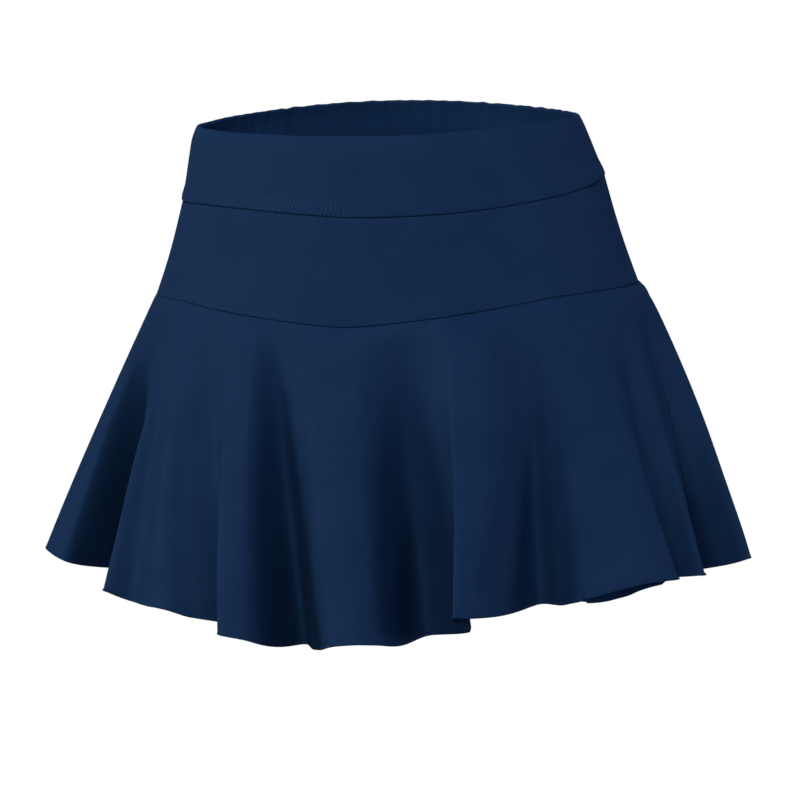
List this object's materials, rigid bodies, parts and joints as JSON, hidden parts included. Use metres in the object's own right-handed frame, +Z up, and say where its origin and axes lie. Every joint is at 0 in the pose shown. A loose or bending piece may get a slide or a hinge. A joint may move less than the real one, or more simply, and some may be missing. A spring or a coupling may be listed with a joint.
{
  "type": "cheerleading skirt",
  "caption": "Short worn-form cheerleading skirt: elastic waistband gathered at the back, pointed hip yoke and a circular-cut flounce falling in soft folds; open at waist and hem.",
  "frame": {"origin": "centre of the waist opening, halfway up the waistband, where the wearer's waist holds the skirt up", "axes": "+Z up out of the waist opening, front faces -Y, the wearer's left side at +X"},
  "size_m": [0.4539, 0.4287, 0.3055],
  "materials": {
    "waistband_cloth": "navy knit folded over elastic, smooth, low sheen",
    "yoke_cloth": "navy stretch knit, smooth, low sheen",
    "flounce_cloth": "navy stretch knit, smooth, low sheen, narrow raw-cut hem"
  },
  "bodies": {
    "root": {"waistband_front": "waistband_cloth", "waistband_back": "waistband_cloth", "yoke_front": "yoke_cloth", "yoke_back": "yoke_cloth", "flounce_front": "flounce_cloth", "flounce_back": "flounce_cloth"}
  },
  "joints": []
}
